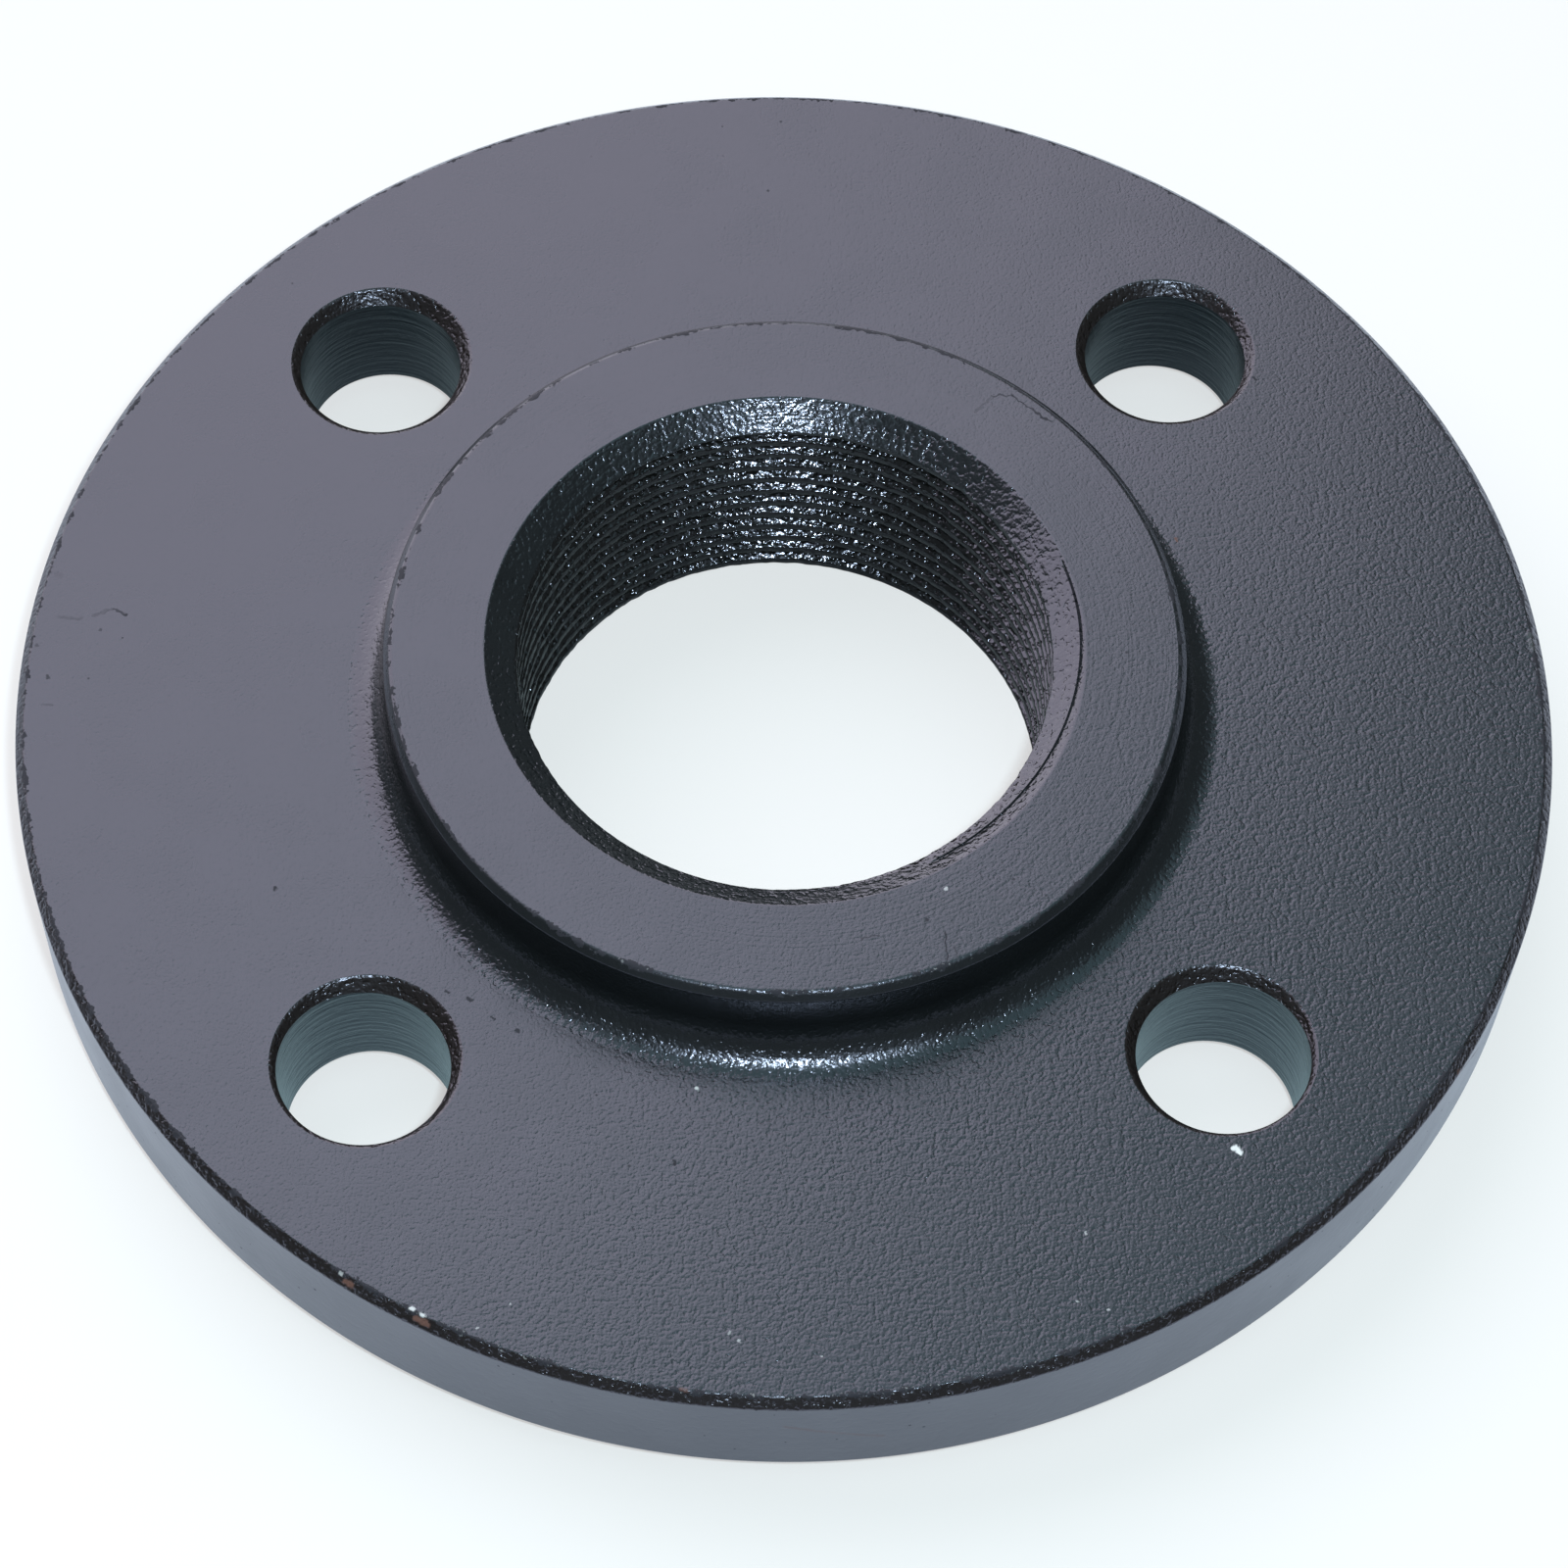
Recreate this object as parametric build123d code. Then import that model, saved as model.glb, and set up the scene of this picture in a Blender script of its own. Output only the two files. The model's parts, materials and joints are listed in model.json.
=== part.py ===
from build123d import *
import os

# A threaded pipe flange for 2 inch pipe: one solid steel piece, turned all over from a forging.
# Millimetres. The origin is the centre of the gasket face, and +Z runs up the bore to the hub's end.

os.makedirs("parts", exist_ok=True)

# Flange disc
flange_dia = 165.0
flange_thickness = 18.0  # from the gasket face to the face that the nuts bear on
raised_face_dia = 102.0
raised_face_height = 3.0
rim_chamfer = 1.0
underside_edge = 0.3  # the edges that face down are only just broken

# Hub
hub_dia = 85.0
overall_height = 28.0  # from the gasket face to the hub's end
hub_root_radius = 6.0
hub_chamfer = 0.8

# Bore for parallel pipe thread, 11 turns an inch. The wall is plain at the thread's crests.
thread_minor_dia = 56.656
bore_mouth_dia = 63.4
bore_mouth_depth = 2.0

# Bolt holes, for M16 bolts
bolt_count = 4
bolt_circle_dia = 125.0
bolt_hole_dia = 18.0
bolt_first_angle = 45.0
bolt_hole_chamfer = 0.5

# Radii and heights that the sizes above give
flange_r = flange_dia / 2
raised_r = raised_face_dia / 2
hub_r = hub_dia / 2
bore_r = thread_minor_dia / 2
mouth_r = bore_mouth_dia / 2


def turned_section():
    """Half of the cross-section, as the lathe leaves it, before the bolt holes."""
    points = [
        (bore_r + underside_edge, 0),
        (raised_r, 0),
        (raised_r, raised_face_height),
        (flange_r - underside_edge, raised_face_height),
        (flange_r, raised_face_height + underside_edge),
        (flange_r, flange_thickness - rim_chamfer),
        (flange_r - rim_chamfer, flange_thickness),
        (hub_r, flange_thickness),
        (hub_r, overall_height - hub_chamfer),
        (hub_r - hub_chamfer, overall_height),
        (mouth_r, overall_height),
        (bore_r, overall_height - bore_mouth_depth),
        (bore_r, underside_edge),
    ]
    outline = Polyline(*points, close=True)
    flat = make_face(outline)
    root = flat.vertices().sort_by_distance((hub_r, flange_thickness, 0))[0]
    return fillet(root, hub_root_radius)


def bolt_hole_cutter():
    """One drilled hole through the disc, with its upper mouth chamfered and its lower one only just broken."""
    drill_r = bolt_hole_dia / 2
    past = 1.0  # the cutter starts and ends this far outside the two faces
    low = raised_face_height
    high = flange_thickness
    points = [
        (0, low - past),
        (drill_r + underside_edge + past, low - past),
        (drill_r, low + underside_edge),
        (drill_r, high - bolt_hole_chamfer),
        (drill_r + bolt_hole_chamfer + past, high + past),
        (0, high + past),
    ]
    half = Plane.XZ * make_face(Polyline(*points, close=True))
    return revolve(half, Axis.Z)


def bolt_places():
    return PolarLocations(bolt_circle_dia / 2, bolt_count, start_angle=bolt_first_angle)


body = revolve(Plane.XZ * turned_section(), Axis.Z)
holes = [place * bolt_hole_cutter() for place in bolt_places()]
flange = body - holes

print("solids", len(flange.solids()), "volume", round(flange.volume), "mm3")
export_step(flange.solid(), "parts/threaded_flange.step")
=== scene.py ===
import json
import math

import bmesh
import bpy
from mathutils import Matrix, Vector, noise


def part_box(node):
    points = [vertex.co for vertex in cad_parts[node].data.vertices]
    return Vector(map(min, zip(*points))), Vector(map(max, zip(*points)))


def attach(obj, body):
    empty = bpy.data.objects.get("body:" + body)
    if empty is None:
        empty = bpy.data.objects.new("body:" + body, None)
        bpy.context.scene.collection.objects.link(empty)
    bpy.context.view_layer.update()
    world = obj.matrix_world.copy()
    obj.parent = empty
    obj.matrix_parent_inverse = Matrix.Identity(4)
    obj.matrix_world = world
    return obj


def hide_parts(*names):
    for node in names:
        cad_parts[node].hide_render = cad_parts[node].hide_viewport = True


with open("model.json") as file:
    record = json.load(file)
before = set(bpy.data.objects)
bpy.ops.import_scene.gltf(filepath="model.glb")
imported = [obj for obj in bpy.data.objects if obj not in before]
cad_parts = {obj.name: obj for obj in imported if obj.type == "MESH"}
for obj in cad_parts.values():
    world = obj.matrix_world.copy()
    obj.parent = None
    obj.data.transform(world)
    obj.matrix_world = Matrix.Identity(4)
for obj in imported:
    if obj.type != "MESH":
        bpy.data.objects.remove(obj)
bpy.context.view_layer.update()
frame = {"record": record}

MM = 0.001

# The viewpoint: in front of the flange and well above it, so that the far wall of the bore and of each
# bolt hole shows. The angles, the distance, the focal length and the point of the picture that the lens
# is centred on come from a fit to the known sizes.

image_px = 1600
focal_px = 4450.9
sensor_width_mm = 36
lens_centre_px = (684, 902.6)
camera_azimuth = math.radians(-0.487)
camera_elevation = math.radians(60.728)
camera_roll = math.radians(-0.273)
camera_distance = 457.5 * MM
camera_target = Vector((-12.403, -23.511, 18)) * MM

level = math.cos(camera_elevation)
camera_back = Vector((math.sin(camera_azimuth) * level, -math.cos(camera_azimuth) * level, math.sin(camera_elevation)))
camera_right = Vector((math.cos(camera_azimuth), math.sin(camera_azimuth), 0))
camera_right = Matrix.Rotation(camera_roll, 3, camera_back) @ camera_right
camera_up = camera_back.cross(camera_right)
camera_place = camera_target + camera_back * camera_distance

camera = bpy.data.objects.new("camera", bpy.data.cameras.new("camera"))
camera.data.sensor_width = sensor_width_mm
camera.data.lens = focal_px / image_px * sensor_width_mm
camera.data.shift_x = 0.5 - lens_centre_px[0] / image_px
camera.data.shift_y = lens_centre_px[1] / image_px - 0.5
camera.matrix_world = Matrix.Translation(camera_place) @ Matrix((camera_right, camera_up, camera_back)).transposed().to_4x4()
bpy.context.scene.collection.objects.link(camera)
bpy.context.scene.camera = camera
bpy.context.scene.view_settings.view_transform = "Standard"

# The turned body: a steel forging turned all over, so its form is one section spun about the bore.
# Every corner is broken by the tool and then softened by the paint, which the small corner radii show.

flange_low, flange_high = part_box("threaded_flange")
mounts = {mount["name"]: mount for mount in frame["record"]["mounts"]}
rim_r = flange_high.x
hub_end_z = flange_high.z
disc_top_z = mounts["nut_face"]["pos_m"][2]
bore_r = mounts["pipe_thread"]["dims"]["r_mm"] * MM
raised_face_r = 51 * MM
raised_face_z = 3 * MM
rim_chamfer = 1 * MM
underside_edge = 0.3 * MM
hub_r = 42.5 * MM
hub_root_radius = 4.3 * MM
hub_chamfer = 0.8 * MM
mouth_r = 31.7 * MM
mouth_depth = 2 * MM
mouth_groove_r = 30.5 * MM
mouth_groove_half = 0.16 * MM
mouth_groove_depth = 0.22 * MM
paint_radius = 0.15 * MM
hub_edge_radius = 0.3 * MM
turning_steps = 336


def section_mesh(corners, rounding):
    """A flat face in the XZ plane from (radius, height) corners, with the corners named in rounding made round."""
    shape = bmesh.new()
    corner_verts = [shape.verts.new((r, 0, z)) for r, z in corners]
    shape.faces.new(corner_verts)
    for index, (offset, segments) in rounding.items():
        bmesh.ops.bevel(shape, geom=[corner_verts[index]], affect="VERTICES", offset=offset, segments=segments,
                        profile=0.5, material=-1, offset_type="OFFSET")
    return shape


def spin_outline(shape, steps, rise=0):
    """Spins the outline of the flat face once about the Z axis, rising on the way, and drops the face itself."""
    bmesh.ops.delete(shape, geom=shape.faces[:], context="FACES_ONLY")
    bmesh.ops.spin(shape, geom=shape.verts[:] + shape.edges[:], cent=(0, 0, 0), axis=(0, 0, 1),
                   dvec=(0, 0, rise / steps), angle=2 * math.pi, steps=steps, use_merge=rise == 0)


def mesh_object(shape, name):
    bmesh.ops.recalc_face_normals(shape, faces=shape.faces[:])
    mesh = bpy.data.meshes.new(name)
    shape.to_mesh(mesh)
    shape.free()
    piece = bpy.data.objects.new(name, mesh)
    bpy.context.scene.collection.objects.link(piece)
    return piece


mouth_slope = mouth_depth / (mouth_r - bore_r)


def mouth_z(radius):
    """The height of the bore's countersunk mouth at that radius."""
    return hub_end_z - (mouth_r - radius) * mouth_slope


section = [
    (bore_r + underside_edge, 0),
    (raised_face_r, 0),
    (raised_face_r, raised_face_z),
    (rim_r - underside_edge, raised_face_z),
    (rim_r, raised_face_z + underside_edge),
    (rim_r, disc_top_z - rim_chamfer),
    (rim_r - rim_chamfer, disc_top_z),
    (hub_r, disc_top_z),
    (hub_r, hub_end_z - hub_chamfer),
    (hub_r - hub_chamfer, hub_end_z),
    (mouth_r, hub_end_z),
    (mouth_groove_r + mouth_groove_half, mouth_z(mouth_groove_r + mouth_groove_half)),
    (mouth_groove_r, mouth_z(mouth_groove_r) - mouth_groove_depth),
    (mouth_groove_r - mouth_groove_half, mouth_z(mouth_groove_r - mouth_groove_half)),
    (bore_r, hub_end_z - mouth_depth),
    (bore_r, underside_edge),
]
root_corner = 7
soft_corners = [1, 3, 4, 5, 6, 8, 9, 10]
rounding = {corner: (paint_radius, 2) for corner in soft_corners}
rounding[root_corner] = (hub_root_radius, 14)
rounding[9] = (hub_edge_radius, 4)
body_shape = section_mesh(section, rounding)
spin_outline(body_shape, turning_steps)

# A tool mark in the mouth: one slip of the countersink, a groove that runs outwards over the right side of the
# cone and fades out at both ends. Its three rings of points are on the cone all round, and only dip there.

slip_start = math.radians(303)
slip_end = math.radians(374)
slip_fade = math.radians(8)
slip_run_out = 1.5 * MM


def smooth_step(low, high, value):
    share = min(max((value - low) / (high - low), 0), 1)
    return share * share * (3 - 2 * share)


for vert in body_shape.verts:
    radius = math.hypot(vert.co.x, vert.co.y)
    on_cone = abs(radius - mouth_groove_r) < 1.5 * mouth_groove_half and vert.co.z > hub_end_z - mouth_depth
    if on_cone:
        angle = math.atan2(vert.co.y, vert.co.x) % (2 * math.pi)
        angle += 2 * math.pi if angle < math.pi / 2 else 0
        dip = smooth_step(slip_start - slip_fade, slip_start, angle) * smooth_step(slip_end + slip_fade, slip_end, angle)
        run = smooth_step(slip_start, slip_end, angle) * smooth_step(math.radians(450), slip_end, angle)
        new_radius = radius + slip_run_out * (run - 0.35)
        bottom = smooth_step(0.5 * mouth_groove_half, 0, abs(radius - mouth_groove_r))
        vert.co *= Vector((new_radius / radius, new_radius / radius, 0))
        vert.co.z = mouth_z(new_radius) - bottom * dip * mouth_groove_depth
flange = mesh_object(body_shape, "painted_flange")

# The bolt holes: drilled through the disc on one circle, and countersunk from above with a hand tool that
# sat a little off centre. Each is cut with the spun forms of the drill and of the countersink.

bolts = mounts["bolt_holes"]["dims"]
bolt_circle_r = bolts["pcd_mm"] / 2 * MM
bolt_hole_r = bolts["hole_r_mm"] * MM
bolt_first_angle = math.radians(45)
countersinks = [
    {"radius": 9.94 * MM, "shift": Vector((0, 0.35, 0)) * MM},
    {"radius": 10.05 * MM, "shift": Vector((0.2, 0.33, 0)) * MM},
    {"radius": 9.85 * MM, "shift": Vector((0.3, 0.44, 0)) * MM},
    {"radius": 9.8 * MM, "shift": Vector((-0.25, 0.5, 0)) * MM},
]
lip_radius = 0.3 * MM
drill_steps = 96
clear = 1 * MM


def cut_away(piece, cutter):
    """Takes the cutter's volume out of the piece for good, and removes the cutter."""
    cutting = piece.modifiers.new("cut", "BOOLEAN")
    cutting.operation = "DIFFERENCE"
    cutting.solver = "MANIFOLD"
    cutting.object = cutter
    bpy.context.view_layer.update()
    evaluated = piece.evaluated_get(bpy.context.evaluated_depsgraph_get())
    cut_mesh = bpy.data.meshes.new_from_object(evaluated)
    piece.modifiers.clear()
    piece.data = cut_mesh
    bpy.data.objects.remove(cutter)


drill_section = [
    (0, raised_face_z - clear),
    (bolt_hole_r + underside_edge + clear, raised_face_z - clear),
    (bolt_hole_r, raised_face_z + underside_edge),
    (bolt_hole_r, disc_top_z + clear),
    (0, disc_top_z + clear),
]


def countersink_section(radius):
    """The section of a countersink of 90 degrees, which is that wide on the disc's face."""
    return [
        (0, disc_top_z - radius),
        (radius, disc_top_z),
        (radius + 2 * clear, disc_top_z + 0.2 * clear),
        (radius + 2 * clear, disc_top_z + clear),
        (0, disc_top_z + clear),
    ]


def cut_round(section_corners, section_rounding, place):
    """Cuts a spun form out of the flange at that place."""
    drill_shape = section_mesh(section_corners, section_rounding)
    spin_outline(drill_shape, drill_steps)
    bmesh.ops.remove_doubles(drill_shape, verts=drill_shape.verts[:], dist=0.01 * MM)
    bmesh.ops.translate(drill_shape, vec=place, verts=drill_shape.verts[:])
    cut_away(flange, mesh_object(drill_shape, "drill"))


hole_places = []
for turn in range(bolts["count"]):
    angle = bolt_first_angle + turn * 2 * math.pi / bolts["count"]
    hole_places.append(Vector((math.cos(angle), math.sin(angle), 0)) * bolt_circle_r)
for hole_place, countersink in zip(hole_places, countersinks):
    cut_round(drill_section, {2: (paint_radius, 2)}, hole_place)
    cut_round(countersink_section(countersink["radius"]), {1: (lip_radius, 3)}, hole_place + countersink["shift"])

# The pipe thread: right-hand parallel pipe thread of 11 turns an inch, tapped right through the bore. Its
# crests are broad, as the photograph shows, which leaves about 50 degrees between the flanks.
# The tap is one turn's groove, spun upwards along the right-hand helix for more turns than the bore takes.

thread_pitch = 25.4 / 11 * MM
thread_depth = 1.479 * MM
crest_flat = 0.92 * MM
crest_break = 0.06 * MM
root_rounding = 0.15 * MM
turns = 14
thread_steps = 400
thread_start_z = -2.76 * MM
thread_start_angle = math.radians(88)

crest_r = bore_r + 0.004 * MM
root_r = bore_r + thread_depth
groove_half = (thread_pitch - crest_flat) / 2
groove = [
    (bore_r - clear, -groove_half - crest_break),
    (crest_r, -groove_half - crest_break),
    (crest_r + crest_break, -groove_half + crest_break / 2),
    (root_r, 0),
    (crest_r + crest_break, groove_half - crest_break / 2),
    (crest_r, groove_half + crest_break),
    (crest_r, thread_pitch - groove_half - crest_break),
    (bore_r - clear, thread_pitch - groove_half - crest_break),
]
tap_shape = section_mesh(groove, {3: (root_rounding, 2)})
inner_verts = [vert for vert in tap_shape.verts if vert.co.x < bore_r - clear / 2]
bmesh.ops.delete(tap_shape, geom=inner_verts, context="VERTS")
spin_outline(tap_shape, thread_steps, thread_pitch)
one_turn = tap_shape.verts[:] + tap_shape.edges[:] + tap_shape.faces[:]
for turn in range(1, turns):
    copied = bmesh.ops.duplicate(tap_shape, geom=one_turn)["geom"]
    copied_verts = [item for item in copied if isinstance(item, bmesh.types.BMVert)]
    bmesh.ops.translate(tap_shape, vec=(0, 0, turn * thread_pitch), verts=copied_verts)
bmesh.ops.remove_doubles(tap_shape, verts=tap_shape.verts[:], dist=0.002 * MM)
bmesh.ops.holes_fill(tap_shape, edges=[edge for edge in tap_shape.edges if edge.is_boundary])
bmesh.ops.rotate(tap_shape, cent=(0, 0, 0), matrix=Matrix.Rotation(thread_start_angle, 3, "Z"), verts=tap_shape.verts[:])
bmesh.ops.translate(tap_shape, vec=(0, 0, thread_start_z), verts=tap_shape.verts[:])

# The tap tore the thread rather than cutting it clean: crests are chipped and the flanks ripple.

tear_size = 0.8 * MM
tear_depth = 0.14 * MM
for vert in tap_shape.verts:
    radius = math.hypot(vert.co.x, vert.co.y)
    near_crest = smooth_step(root_r, crest_r, radius)
    tear = noise.noise(vert.co / tear_size)
    chip = max(0, noise.noise(vert.co / (3 * tear_size) + Vector((9, 0, 0))))
    outwards = tear_depth * near_crest * (0.5 + 0.5 * tear + 1.5 * chip * chip) + 0.03 * MM * tear
    shift = 1 + max(outwards, 0) / radius
    vert.co = Vector((vert.co.x * shift, vert.co.y * shift, vert.co.z + 0.05 * MM * noise.noise(vert.co / tear_size + Vector((0, 0, 5)))))
cut_away(flange, mesh_object(tap_shape, "tap"))

# The paint: one thin coat of semi-gloss black on everything. What lies under it differs: a finely pebbled
# forging skin on the disc, lathe rings on the hub's end, feed marks in the drilled holes, torn tap marks in the bore.

paint_black = (0.006, 0.0075, 0.008, 1)
paint_ior = 1.6
sheen_tint = (0.82, 0.82, 1.0, 1)


def shader_group(name, inputs, outputs):
    """An empty shader node group. Inputs are (name, type, value) and outputs (name, type)."""
    group = bpy.data.node_groups.new(name, "ShaderNodeTree")
    for socket_name, kind, value in inputs:
        socket = group.interface.new_socket(socket_name, in_out="INPUT", socket_type="NodeSocket" + kind)
        socket.default_value = value
    for socket_name, kind in outputs:
        group.interface.new_socket(socket_name, in_out="OUTPUT", socket_type="NodeSocket" + kind)
    return group, group.nodes.new("NodeGroupInput").outputs, group.nodes.new("NodeGroupOutput").inputs


def wire(tree, value, socket):
    if isinstance(value, bpy.types.NodeSocket):
        tree.links.new(value, socket)
    else:
        socket.default_value = value


def calc(tree, operation, *values):
    node = tree.nodes.new("ShaderNodeMath")
    node.operation = operation
    for value, socket in zip(values, node.inputs):
        wire(tree, value, socket)
    return node.outputs[0]


def vector_calc(tree, operation, *values):
    node = tree.nodes.new("ShaderNodeVectorMath")
    node.operation = operation
    for value, socket in zip(values, node.inputs):
        wire(tree, value, socket)
    return node.outputs["Value"] if operation in ("LENGTH", "DISTANCE", "DOT_PRODUCT") else node.outputs[0]


def ramp(tree, value, low, high, start=0, end=1):
    """A smooth step of value from low to high, given out as start to end."""
    node = tree.nodes.new("ShaderNodeMapRange")
    node.interpolation_type = "SMOOTHSTEP"
    for socket, given in zip(node.inputs, (value, low, high, start, end)):
        wire(tree, given, socket)
    return node.outputs[0]


def noise_at(tree, vector, scale, detail=2):
    node = tree.nodes.new("ShaderNodeTexNoise")
    wire(tree, vector, node.inputs["Vector"])
    wire(tree, scale, node.inputs["Scale"])
    node.inputs["Detail"].default_value = detail
    return node.outputs["Fac"]


def mix_colour(tree, share, first, second):
    node = tree.nodes.new("ShaderNodeMix")
    node.data_type = "RGBA"
    wire(tree, share, node.inputs[0])
    wire(tree, first, node.inputs[6])
    wire(tree, second, node.inputs[7])
    return node.outputs[2]


def put(tree, group, **values):
    """Places a node group, with its inputs by name, and returns its outputs."""
    node = tree.nodes.new("ShaderNodeGroup")
    node.node_tree = group
    for socket_name, value in values.items():
        wire(tree, value, node.inputs[socket_name])
    return node.outputs


pebble_group, given, result = shader_group(
    "pebble", [("Vector", "Vector", (0, 0, 0)), ("Size", "Float", 1 * MM), ("Height", "Float", 0.01 * MM)],
    [("Height", "Float")])
pebble = noise_at(pebble_group, given["Vector"], calc(pebble_group, "DIVIDE", 1, given["Size"]), 1)
dimples = ramp(pebble_group, pebble, 0.3, 0.47, 0, 0.3)
pebble = calc(pebble_group, "ADD", calc(pebble_group, "MULTIPLY", pebble, 0.8), dimples)
wire(pebble_group, calc(pebble_group, "MULTIPLY", pebble, given["Height"]), result["Height"])

ring_group, given, result = shader_group(
    "turned_rings", [("Vector", "Vector", (0, 0, 0)), ("Spacing", "Float", 1 * MM), ("Height", "Float", 0.01 * MM)],
    [("Height", "Float")])
flat_vector = vector_calc(ring_group, "MULTIPLY", given["Vector"], (1, 1, 0))
ring_radius = vector_calc(ring_group, "LENGTH", flat_vector)
ring_place = ring_group.nodes.new("ShaderNodeCombineXYZ")
wire(ring_group, calc(ring_group, "DIVIDE", ring_radius, given["Spacing"]), ring_place.inputs[0])
around = vector_calc(ring_group, "NORMALIZE", flat_vector)
ring_vector = vector_calc(ring_group, "ADD", vector_calc(ring_group, "MULTIPLY", around, (0, 2, 2)), ring_place.outputs[0])
wire(ring_group, calc(ring_group, "MULTIPLY", noise_at(ring_group, ring_vector, 1, 1), given["Height"]), result["Height"])

feed_group, given, result = shader_group(
    "feed_marks", [("Vector", "Vector", (0, 0, 0)), ("Spacing", "Float", 0.5 * MM), ("Height", "Float", 0.01 * MM)],
    [("Height", "Float")])
feed_vector = vector_calc(feed_group, "MULTIPLY", given["Vector"], (0.07, 0.07, 1))
feed = noise_at(feed_group, feed_vector, calc(feed_group, "DIVIDE", 1, given["Spacing"]), 2)
wire(feed_group, calc(feed_group, "MULTIPLY", feed, given["Height"]), result["Height"])

pit_group, given, result = shader_group(
    "pits", [("Vector", "Vector", (0, 0, 0)), ("Spacing", "Float", 4 * MM), ("Radius", "Float", 0.3 * MM),
             ("Share", "Float", 0.3)], [("Mask", "Float")])
pit_cells = pit_group.nodes.new("ShaderNodeTexVoronoi")
wire(pit_group, given["Vector"], pit_cells.inputs["Vector"])
wire(pit_group, calc(pit_group, "DIVIDE", 1, given["Spacing"]), pit_cells.inputs["Scale"])
pit_distance = calc(pit_group, "MULTIPLY", pit_cells.outputs["Distance"], given["Spacing"])
pit_chance = pit_group.nodes.new("ShaderNodeSeparateColor")
wire(pit_group, pit_cells.outputs["Color"], pit_chance.inputs[0])
pit_radius = calc(pit_group, "MULTIPLY", given["Radius"], calc(pit_group, "ADD", pit_chance.outputs[1], 0.4))
pit_mask = ramp(pit_group, calc(pit_group, "DIVIDE", pit_distance, pit_radius), 1, 0.5)
pit_here = calc(pit_group, "LESS_THAN", pit_chance.outputs[0], given["Share"])
wire(pit_group, calc(pit_group, "MULTIPLY", pit_mask, pit_here), result["Mask"])

# A chipped edge: dark chips along the edge's line, and a painted glint, pale specks only on the edge's front side,
# where the lamp by the camera glints.
edge_group, given, result = shader_group(
    "chipped_edge_with_painted_glints", [("Vector", "Vector", (0, 0, 0)), ("Radius", "Float", 1), ("Level", "Float", 0), ("Reach", "Float", 0.4 * MM)],
    [("Mask", "Float"), ("Bright", "Float")])
edge_split = edge_group.nodes.new("ShaderNodeSeparateXYZ")
wire(edge_group, given["Vector"], edge_split.inputs[0])
edge_radius = vector_calc(edge_group, "LENGTH", vector_calc(edge_group, "MULTIPLY", given["Vector"], (1, 1, 0)))
edge_out = calc(edge_group, "ABSOLUTE", calc(edge_group, "SUBTRACT", edge_radius, given["Radius"]))
edge_up = calc(edge_group, "ABSOLUTE", calc(edge_group, "SUBTRACT", edge_split.outputs["Z"], given["Level"]))
edge_distance = calc(edge_group, "DIVIDE", calc(edge_group, "MAXIMUM", edge_out, edge_up), given["Reach"])
coarse_chip = noise_at(edge_group, given["Vector"], 450, 2)
fine_chip = noise_at(edge_group, given["Vector"], 2200, 2)
chip_reach = ramp(edge_group, calc(edge_group, "ADD", calc(edge_group, "MULTIPLY", coarse_chip, 0.6), calc(edge_group, "MULTIPLY", fine_chip, 0.4)), 0.42, 0.68)
wire(edge_group, ramp(edge_group, calc(edge_group, "SUBTRACT", chip_reach, edge_distance), 0, 0.15), result["Mask"])
# Painted glint: pale specks near the edge, on its front side only.
glint_front = ramp(edge_group, calc(edge_group, "DIVIDE", edge_split.outputs["Y"], given["Radius"]), -0.8, -0.97)
painted_glint_specks = calc(edge_group, "MULTIPLY", ramp(edge_group, fine_chip, 0.64, 0.71), glint_front)
wire(edge_group, calc(edge_group, "MULTIPLY", painted_glint_specks, ramp(edge_group, edge_distance, 0.8, 0.4)), result["Bright"])

mark_group, given, result = shader_group(
    "mark", [("Vector", "Vector", (0, 0, 0)), ("Start", "Vector", (0, 0, 0)), ("End", "Vector", (0, 0, 0)),
             ("Width", "Float", 0.3 * MM), ("Strength", "Float", 1)], [("Mask", "Float")])
along = vector_calc(mark_group, "SUBTRACT", given["End"], given["Start"])
offset = vector_calc(mark_group, "SUBTRACT", given["Vector"], given["Start"])
mark_length = calc(mark_group, "MAXIMUM", vector_calc(mark_group, "DOT_PRODUCT", along, along), 1e-12)
share = calc(mark_group, "DIVIDE", vector_calc(mark_group, "DOT_PRODUCT", offset, along), mark_length)
share = calc(mark_group, "MINIMUM", calc(mark_group, "MAXIMUM", share, 0), 1)
scaled = mark_group.nodes.new("ShaderNodeVectorMath")
scaled.operation = "SCALE"
wire(mark_group, along, scaled.inputs[0])
wire(mark_group, share, scaled.inputs["Scale"])
mark_distance = vector_calc(mark_group, "DISTANCE", offset, scaled.outputs[0])
mark_distance = calc(mark_group, "DIVIDE", mark_distance, given["Width"])
wire(mark_group, calc(mark_group, "MULTIPLY", ramp(mark_group, mark_distance, 0.7, 0.25), given["Strength"]), result["Mask"])

# The marks of handling that the photograph shows. Each is placed by its two ends in the photograph's pixels,
# carried along the line of sight onto the surface, with its width in millimetres and its strength.

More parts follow.
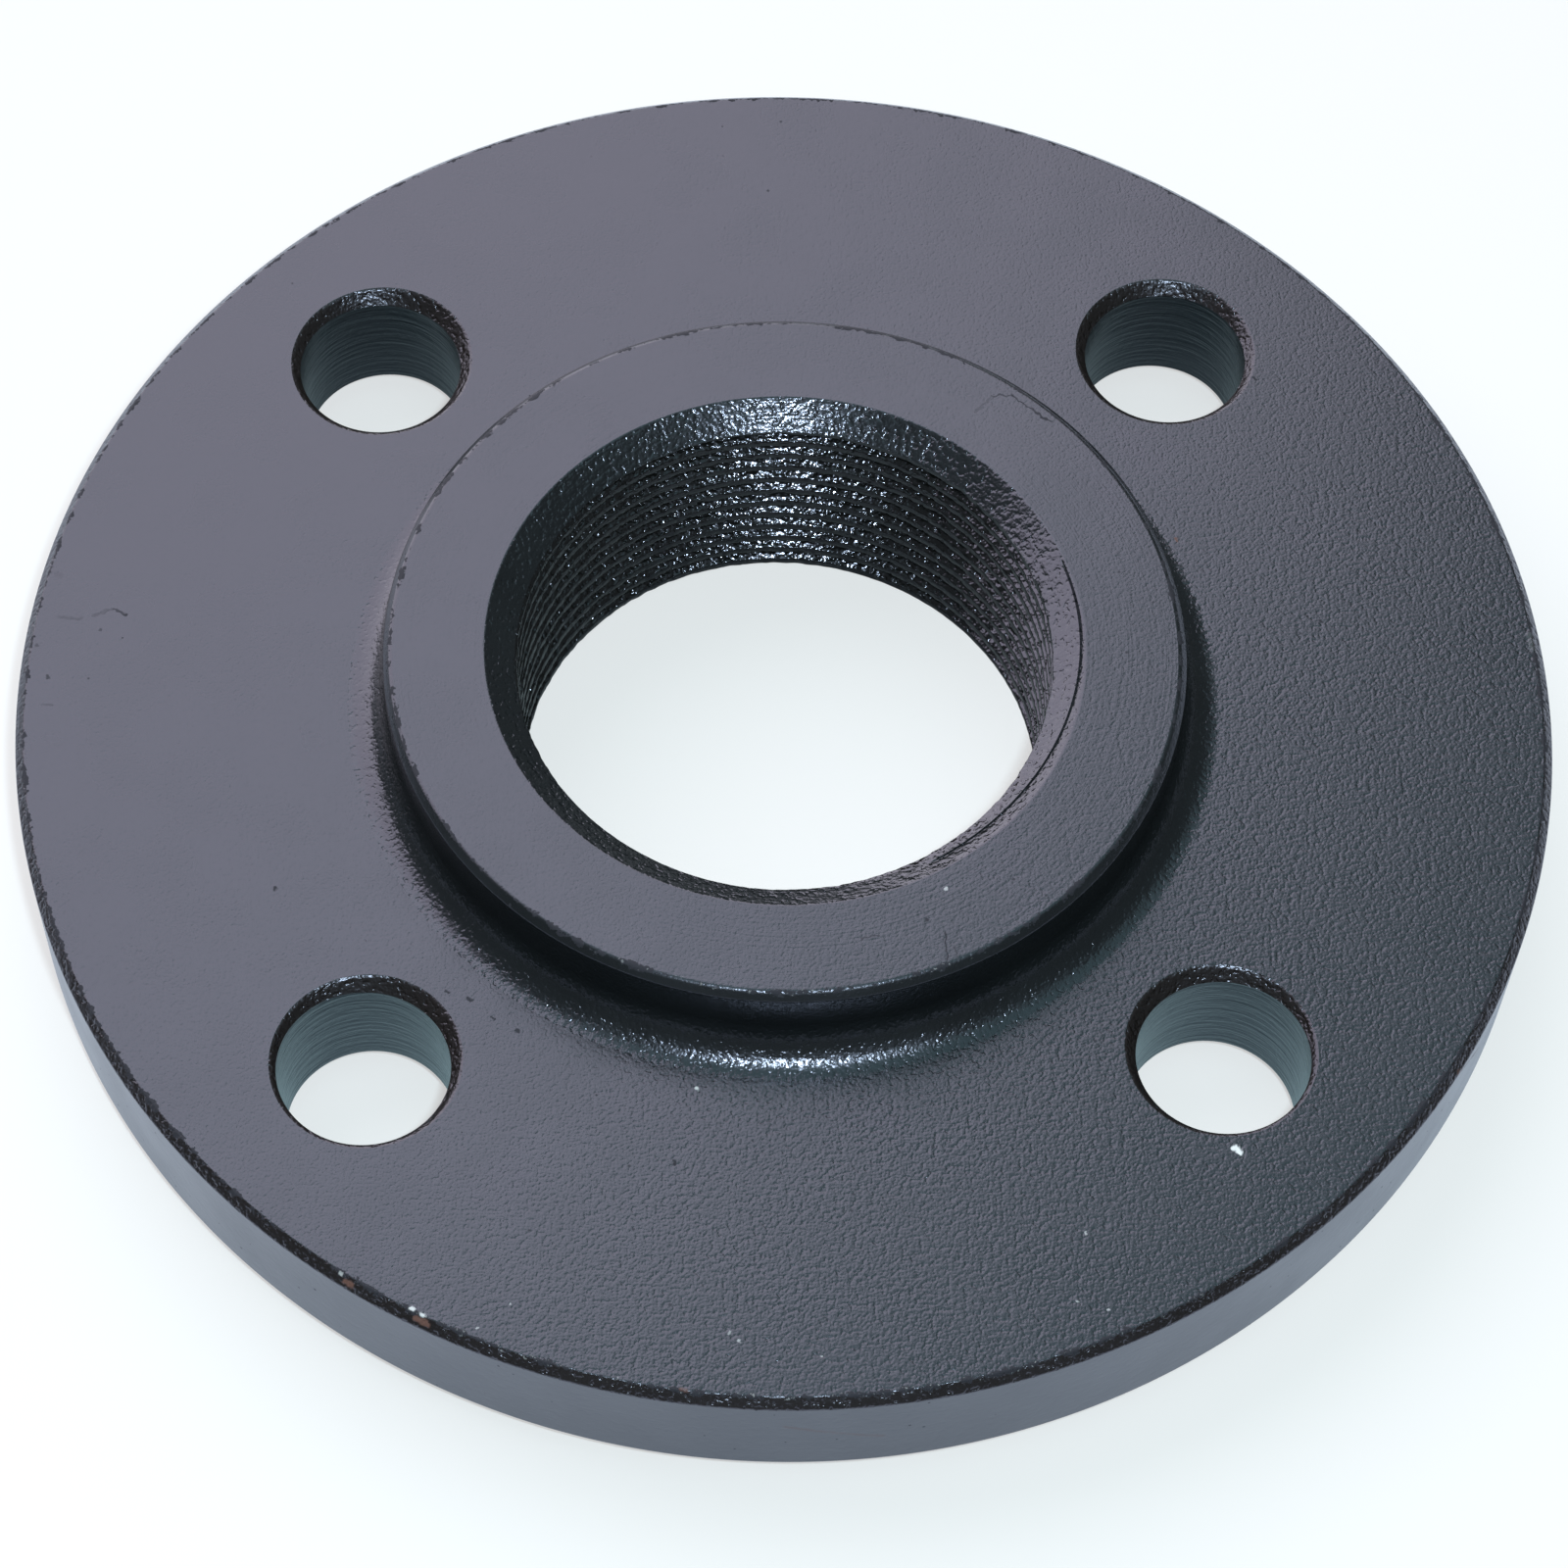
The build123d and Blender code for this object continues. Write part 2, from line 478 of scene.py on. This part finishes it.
dark_marks = {
    "pit on the left": (281, 907, 281, 907, 0.5, 1),
    "scrape at the left rim": (60, 630, 84, 631, 0.45, 0.35),
    "scrape beside it": (95, 629, 114, 621, 0.4, 0.4),
    "end of the scrape": (116, 621, 129, 628, 0.3, 0.7),
    "pit at its end": (128, 627, 129, 627, 0.4, 1),
    "speck under the scrape": (102, 643, 103, 643, 0.35, 0.6),
    "speck near the left rim": (48, 690, 49, 691, 0.45, 0.7),
    "speck above it": (38, 658, 39, 659, 0.5, 0.5),
    "dull spot at the left rim": (59, 586, 61, 587, 0.9, 0.25),
    "fine scratch at the left rim": (22, 722, 52, 719, 0.25, 0.4),
    "scratch on the hub's front": (965, 952, 967, 978, 0.25, 0.9),
    "second scratch beside it": (974, 966, 978, 980, 0.2, 0.6),
    "short scratch on the hub": (880, 958, 897, 954, 0.25, 0.6),
    "speck on the hub's front": (945, 937, 946, 938, 0.35, 0.9),
    "nick at the hub's far left edge": (541, 404, 566, 391, 0.25, 0.7),
    "pit beside the upper right hole": (1279, 386, 1281, 387, 0.4, 1),
    "pit beside the lower left hole": (456, 1012, 458, 1013, 0.4, 0.8),
    "second pit there": (478, 1019, 481, 1020, 0.4, 0.8),
    "pit further right": (501, 1038, 504, 1040, 0.35, 0.8),
    "pit at the root": (526, 1051, 529, 1053, 0.35, 0.8),
    "pit near the front": (688, 1184, 688, 1188, 0.4, 1),
    "nick at the front edge": (1149, 1355, 1153, 1356, 0.5, 1),
    "kink at the hub's far right edge": (1013, 404, 1030, 403, 0.25, 0.6),
    "line from the kink": (1032, 403, 1062, 425, 0.22, 0.8),
    "edge beyond the kink": (1062, 425, 1110, 450, 0.35, 0.9),
    "scrape under the hub's far right edge": (995, 420, 1012, 406, 0.3, 0.3),
    "pit right of the hub": (1347, 633, 1348, 634, 0.4, 1),
}
pale_marks = {
    "chip below the lower right hole": (1260, 1171, 1266, 1176, 0.6, 1),
    "speck on the hub's front": (965, 906, 965, 907, 0.35, 0.5),
    "front speck 1": (522, 1330, 522, 1330, 0.3, 0.4),
    "front speck 2": (487, 1355, 487, 1355, 0.3, 0.4),
    "front speck 3": (744, 1360, 744, 1360, 0.35, 0.3),
    "front speck 4": (754, 1369, 754, 1369, 0.35, 0.4),
    "front speck 5": (839, 1384, 839, 1384, 0.3, 0.4),
    "front speck 6": (1108, 1259, 1108, 1259, 0.3, 0.4),
    "front speck 7": (1100, 1328, 1100, 1328, 0.3, 0.4),
    "front speck 8": (1131, 1336, 1131, 1336, 0.3, 0.4),
    "speck at the root 1": (711, 1111, 711, 1111, 0.4, 0.8),
    "speck at the root 2": (862, 1096, 862, 1096, 0.35, 0.8),
    "nick at the right rim": (1561, 648, 1563, 662, 0.7, 0.06),
    "chip on the front left edge": (347, 1299, 348, 1300, 0.45, 0.5),
    "second chip there": (420, 1335, 421, 1336, 0.5, 0.8),
    "third chip there": (431, 1341, 432, 1342, 0.5, 0.8),
}
rust_marks = {
    "rust on the front left edge": (352, 1308, 358, 1311, 0.7, 0.8),
    "rust further along": (424, 1345, 436, 1351, 0.7, 0.8),
    "rust on the edge above": (695, 1418, 700, 1419, 0.5, 0.5),
    "stain on the rim": (801, 1456, 900, 1465, 0.6, 0.3),
    "rust at the right edge": (1488, 1094, 1508, 1070, 0.5, 0.4),
    "rust on the hub's edge": (1200, 550, 1201, 552, 0.4, 0.7),
}


def seen_point(x, y):
    """The place on the flange that the photograph shows at that pixel."""
    right_share = (x - lens_centre_px[0]) / focal_px
    up_share = (lens_centre_px[1] - y) / focal_px
    sight = camera_right * right_share + camera_up * up_share - camera_back
    hit, place, normal, index = flange.ray_cast(camera_place, sight.normalized())
    return place


def marks_mask(name, marks):
    """A node group whose mask covers all the marks of one kind, with uneven outlines."""
    group, given, result = shader_group(name, [("Vector", "Vector", (0, 0, 0))], [("Mask", "Float")])
    waver = group.nodes.new("ShaderNodeTexNoise")
    waver.inputs["Scale"].default_value = 1500
    wire(group, given["Vector"], waver.inputs["Vector"])
    waver_shift = vector_calc(group, "SUBTRACT", waver.outputs["Color"], (0.5, 0.5, 0.5))
    wavering = vector_calc(group, "ADD", given["Vector"], vector_calc(group, "MULTIPLY", waver_shift, (0.0008, 0.0008, 0)))
    covered = 0
    for start_x, start_y, end_x, end_y, width_mm, strength in marks.values():
        ends = seen_point(start_x, start_y), seen_point(end_x, end_y)
        mark = put(group, mark_group, Vector=wavering, Start=ends[0], End=ends[1], Width=width_mm * MM,
                   Strength=strength)["Mask"]
        covered = calc(group, "MAXIMUM", covered, mark)
    wire(group, covered, result["Mask"])
    return group


bpy.context.view_layer.update()
dark_group = marks_mask("dark_marks", dark_marks)
pale_group = marks_mask("pale_marks", pale_marks)
rust_group = marks_mask("rust_marks", rust_marks)

pit_colour = (0.003, 0.003, 0.003, 1)
# Pale chips, and the painted glints on the front edges, share this colour.
chip_and_glint_colour = (0.55, 0.56, 0.56, 1)
rust_colour = (0.11, 0.045, 0.025, 1)


def paint(name, roughness, peel, grain_height=0.012 * MM, even=False, rings=None, feed=None, edge=None, marked=False,
          base=paint_black):
    """One finish of the black paint. Peel, rings and feed are (spacing, height), edge is (radius, level)."""
    material = bpy.data.materials.new(name)
    material.use_nodes = True
    tree = material.node_tree
    shader = tree.nodes["Principled BSDF"]
    place = tree.nodes.new("ShaderNodeTexCoord").outputs["Object"]
    peeled = put(tree, pebble_group, Vector=place, Size=peel[0], Height=peel[1])["Height"]
    right_front = 1
    if not even:
        right_front = ramp(tree, vector_calc(tree, "DOT_PRODUCT", place, (0.75, -0.66, 0)), -0.01, 0.06)
        peeled = calc(tree, "MULTIPLY", peeled, ramp(tree, right_front, 0, 1, 0.25, 1))
    grain = put(tree, pebble_group, Vector=place, Size=0.3 * MM, Height=grain_height)["Height"]
    heights = calc(tree, "ADD", peeled, grain)
    if rings:
        ring = put(tree, ring_group, Vector=place, Spacing=rings[0], Height=rings[1])["Height"]
        heights = calc(tree, "ADD", heights, ring)
    if feed:
        turns = put(tree, feed_group, Vector=place, Spacing=feed[0], Height=feed[1])["Height"]
        heights = calc(tree, "ADD", heights, turns)
    bump = tree.nodes.new("ShaderNodeBump")
    bump.inputs["Distance"].default_value = 1
    wire(tree, heights, bump.inputs["Height"])
    wire(tree, bump.outputs[0], shader.inputs["Normal"])
    mottle = noise_at(tree, place, 120, 3)
    colour = mix_colour(tree, mottle, tuple(0.7 * c for c in base[:3]) + (1,), tuple(1.3 * c for c in base[:3]) + (1,))
    gloss = ramp(tree, mottle, 0.3, 0.7, roughness * 0.93, roughness * 1.07)
    if marked:
        pits = put(tree, pit_group, Vector=place, Spacing=1.7 * MM, Radius=0.17 * MM,
                   Share=calc(tree, "ADD", calc(tree, "MULTIPLY", right_front, 0.45), 0.03))["Mask"]
        dark = calc(tree, "MAXIMUM", put(tree, dark_group, Vector=place)["Mask"], calc(tree, "MULTIPLY", pits, 0.7))
        pale = put(tree, pale_group, Vector=place)["Mask"]
        if edge:
            chips_and_glints = put(tree, edge_group, Vector=place, Radius=edge[0], Level=edge[1], Reach=0.5 * MM)
            dark = calc(tree, "MAXIMUM", dark, chips_and_glints["Mask"])
            # The edge's painted glints join the pale marks here.
            pale = calc(tree, "MAXIMUM", pale, calc(tree, "MULTIPLY", chips_and_glints["Bright"], 0.25))
        rust = put(tree, rust_group, Vector=place)["Mask"]
        colour = mix_colour(tree, dark, colour, pit_colour)
        colour = mix_colour(tree, rust, colour, rust_colour)
        colour = mix_colour(tree, pale, colour, chip_and_glint_colour)
        gloss = ramp(tree, calc(tree, "MAXIMUM", dark, calc(tree, "MAXIMUM", rust, pale)), 0, 1, gloss, 0.8)
    wire(tree, colour, shader.inputs["Base Color"])
    wire(tree, gloss, shader.inputs["Roughness"])
    shader.inputs["IOR"].default_value = paint_ior
    shader.inputs["Specular Tint"].default_value = sheen_tint
    return material


rim_edge = (rim_r - rim_chamfer, disc_top_z)
hub_edge = (hub_r - hub_chamfer, hub_end_z)
bare_brown = (0.008, 0.006, 0.005, 1)
thread_black = (0.005, 0.005, 0.0045, 1)
skin = paint("paint_on_disc", 0.27, (0.6 * MM, 0.05 * MM), edge=rim_edge, marked=True)
turned = paint("paint_on_hub_end", 0.27, (0.6 * MM, 0.02 * MM), rings=(0.3 * MM, 0.015 * MM), edge=hub_edge, marked=True)
root = paint("paint_on_hub_root", 0.24, (0.5 * MM, 0.065 * MM), even=True)
mouth = paint("paint_on_mouth", 0.21, (0.62 * MM, 0.1 * MM), even=True, rings=(0.3 * MM, 0.03 * MM))
tapped = paint("paint_on_thread", 0.15, (0.62 * MM, 0.16 * MM), even=True, base=thread_black)
drilled = paint("paint_on_drilled_holes", 0.3, (1 * MM, 0.03 * MM), even=True, feed=(0.6 * MM, 0.14 * MM))
rim = paint("paint_on_rim", 0.3, (1 * MM, 0.01 * MM), 0.003 * MM, even=True, feed=(0.5 * MM, 0.006 * MM), marked=True)
broken = paint("worn_paint_on_broken_edges", 0.3, (0.6 * MM, 0.12 * MM), even=True, edge=rim_edge, marked=True,
               base=bare_brown)
flange.data.materials.clear()
for material in (skin, turned, root, mouth, tapped, drilled, rim, broken):
    flange.data.materials.append(material)
for face in flange.data.polygons:
    spot = face.center
    radius = math.hypot(spot.x, spot.y)
    outwards = (spot.x * face.normal.x + spot.y * face.normal.y) / radius
    sloping = 0.15 < face.normal.z < 0.97
    if radius > rim_r - 1.5 * rim_chamfer and spot.z < disc_top_z - 0.001 * MM:
        face.material_index = 7 if sloping else 6 if outwards > 0.9 else 0
    elif radius > hub_r + 6 * MM and abs(face.normal.z) < 0.97:
        face.material_index = 7 if sloping else 5
    elif radius < mouth_r and spot.z > mouth_z(radius) - 0.1 * MM - mouth_groove_depth and face.normal.z < 0.97:
        face.material_index = 3
    elif radius < root_r + 0.3 * MM and abs(face.normal.z) < 0.97:
        face.material_index = 4
    elif spot.z > hub_end_z - hub_chamfer:
        face.material_index = 1
    elif radius < hub_r + 8 * MM and spot.z > disc_top_z + 0.001 * MM:
        face.material_index = 2
    face.use_smooth = True
flange.data.set_sharp_from_angle(angle=math.radians(40))
steadied = flange.modifiers.new("steady_normals", "WEIGHTED_NORMAL")
steadied.keep_sharp = True
steadied.weight = 100

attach(flange, "root")
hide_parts("threaded_flange")

# The floor: a plain pale sheet under the flange. To the camera it is nearly white, and it keeps a soft shadow. In
# reflections it glows white away from the flange, with a painted shadow under the flange, lighter on the front side,
# and a painted teal tint near it.

floor_size = 8
floor_shape = bmesh.new()
bmesh.ops.create_grid(floor_shape, x_segments=1, y_segments=1, size=floor_size)
floor = mesh_object(floor_shape, "floor")
floor_material = bpy.data.materials.new("pale_floor")
floor_material.use_nodes = True
tree = floor_material.node_tree
floor_shader = tree.nodes["Principled BSDF"]
floor_shader.inputs["Base Color"].default_value = (0.3, 0.3, 0.3, 1)
floor_shader.inputs["Roughness"].default_value = 0.9
floor_shader.inputs["Specular IOR Level"].default_value = 0
seen = tree.nodes.new("ShaderNodeLightPath")
floor_place = tree.nodes.new("ShaderNodeTexCoord").outputs["Object"]
from_flange = vector_calc(tree, "LENGTH", floor_place)
# Painted shadow: in reflections the floor's glow drops under the flange, to 0.56 on the front side and 0.17 on the
# back.
painted_shadow_level = ramp(tree, vector_calc(tree, "DOT_PRODUCT", floor_place, (0, 1, 0)), -0.05, 0.05, 0.56, 0.17)
painted_shadow_under_flange = ramp(tree, from_flange, 0.045, 0.056, 0, painted_shadow_level)
reflected_glow_with_painted_shadow = ramp(tree, from_flange, 0.072, 0.096, painted_shadow_under_flange, 1)
reflected_glow_with_painted_shadow = calc(tree, "MULTIPLY", seen.outputs["Is Glossy Ray"], reflected_glow_with_painted_shadow)
shown = calc(tree, "MAXIMUM", calc(tree, "MULTIPLY", seen.outputs["Is Camera Ray"], 0.55), reflected_glow_with_painted_shadow)
wire(tree, shown, floor_shader.inputs["Emission Strength"])
# Painted reflection colour: near the flange the floor's glow, seen in reflections, is tinted teal.
painted_reflection_tint = mix_colour(tree, ramp(tree, from_flange, 0.07, 0.085), (0.55, 0.89, 1, 1), (0.72, 0.82, 1, 1))
floor_glow = mix_colour(tree, seen.outputs["Is Camera Ray"], painted_reflection_tint, (1, 1, 1, 1))
wire(tree, floor_glow, floor_shader.inputs["Emission Color"])
floor.data.materials.append(floor_material)

# The light: a large soft box behind and above, whose reflection lies on the flat faces, a dim room in front,
# and one small lamp near the camera for the glints.

world = bpy.data.worlds.new("room")
bpy.context.scene.world = world
world.use_nodes = True
tree = world.node_tree
background = tree.nodes["Background"]
direction = tree.nodes.new("ShaderNodeTexCoord").outputs["Generated"]
ceiling = ramp(tree, vector_calc(tree, "DOT_PRODUCT", direction, (0.1, 0.15, 0.98)), 0.8, 0.97)
front = ramp(tree, vector_calc(tree, "DOT_PRODUCT", direction, (0, -0.87, 0.5)), 0.7, 1)
room = calc(tree, "ADD", calc(tree, "MULTIPLY", ceiling, 0.8), calc(tree, "MULTIPLY", front, 0.08))
back = ramp(tree, vector_calc(tree, "DOT_PRODUCT", direction, (0, 1, 0.05)), 0.85, 0.97)
room = calc(tree, "ADD", room, calc(tree, "MULTIPLY", back, 0.3))
room = calc(tree, "ADD", room, 0.14)
seen = tree.nodes.new("ShaderNodeLightPath")
shown = ramp(tree, seen.outputs["Is Camera Ray"], 0, 1, room, 1)
wire(tree, shown, background.inputs["Strength"])
sky = mix_colour(tree, ceiling, (0.9, 1, 0.98, 1), (0.6, 1, 0.98, 1))
room_colour = mix_colour(tree, seen.outputs["Is Camera Ray"], sky, (1, 1, 1, 1))
wire(tree, room_colour, background.inputs["Color"])


def lamp(name, place, aim, size, watts, colour=(1, 1, 1)):
    data = bpy.data.lights.new(name, "AREA")
    data.shape = "DISK"
    data.size = size
    data.energy = watts
    data.color = colour
    light = bpy.data.objects.new(name, data)
    light.location = place
    light.rotation_mode = "QUATERNION"
    light.rotation_quaternion = (Vector(aim) - Vector(place)).to_track_quat("-Z", "Y")
    bpy.context.scene.collection.objects.link(light)
    return light


def around_flange(azimuth, elevation, distance):
    """A place at that bearing from the flange: 0 is straight behind it, positive to the right."""
    a, e = math.radians(azimuth), math.radians(elevation)
    return Vector((math.sin(a) * math.cos(e), math.cos(a) * math.cos(e), math.sin(e))) * distance


softbox_distance = 1.5
softbox_size = 2.33
softbox_radiance = 3.02
softbox_watts = softbox_radiance * math.pi * math.pi * (softbox_size / 2) ** 2
lamp("soft_box", around_flange(-30.5, 36.5, softbox_distance), (0, 0, 0), softbox_size, softbox_watts, (1.06, 1, 1.08))
glint_size = 0.024
glint_radiance = 1200
lamp("glint_lamp", camera_place + camera_right * 0.026 + camera_up * 0.02, (0, 0, 0), glint_size,
     glint_radiance * math.pi * math.pi * (glint_size / 2) ** 2, (0.8, 1, 1.08))
